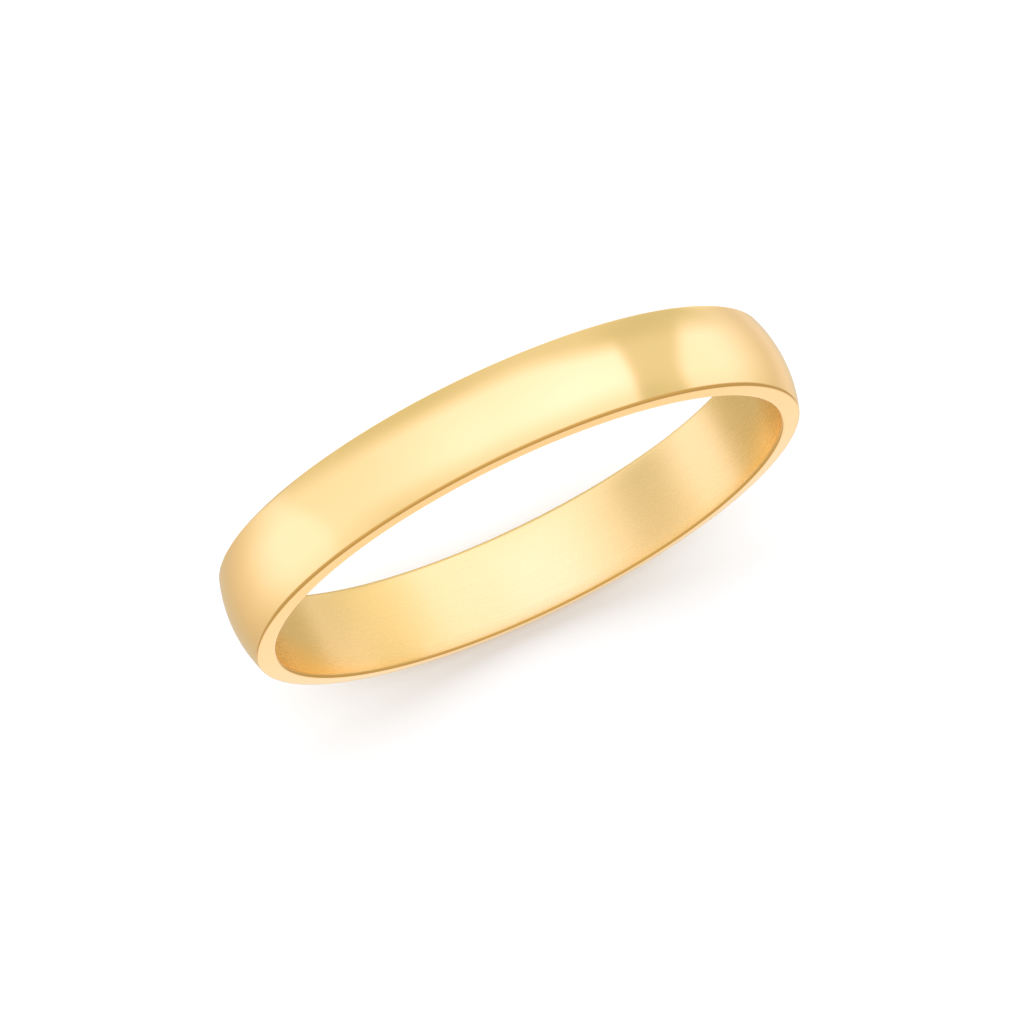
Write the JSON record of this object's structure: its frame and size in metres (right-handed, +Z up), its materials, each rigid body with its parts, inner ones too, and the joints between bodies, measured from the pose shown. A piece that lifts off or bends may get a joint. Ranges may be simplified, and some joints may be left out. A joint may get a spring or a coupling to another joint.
{
  "type": "wedding band",
  "caption": "Plain D-section finger ring: flat bore, low domed outside, slightly leaning side faces and softly rounded edges.",
  "frame": {"origin": "centre of the finger bore, half way across the band's width", "axes": "Y along the bore axis, from side face to side face; +Z up, with the ring standing on its rim; X across the bore"},
  "size_m": [0.0192, 0.003, 0.0192],
  "materials": {
    "gold": "polished yellow gold"
  },
  "bodies": {
    "root": {"band": "gold"}
  },
  "joints": []
}
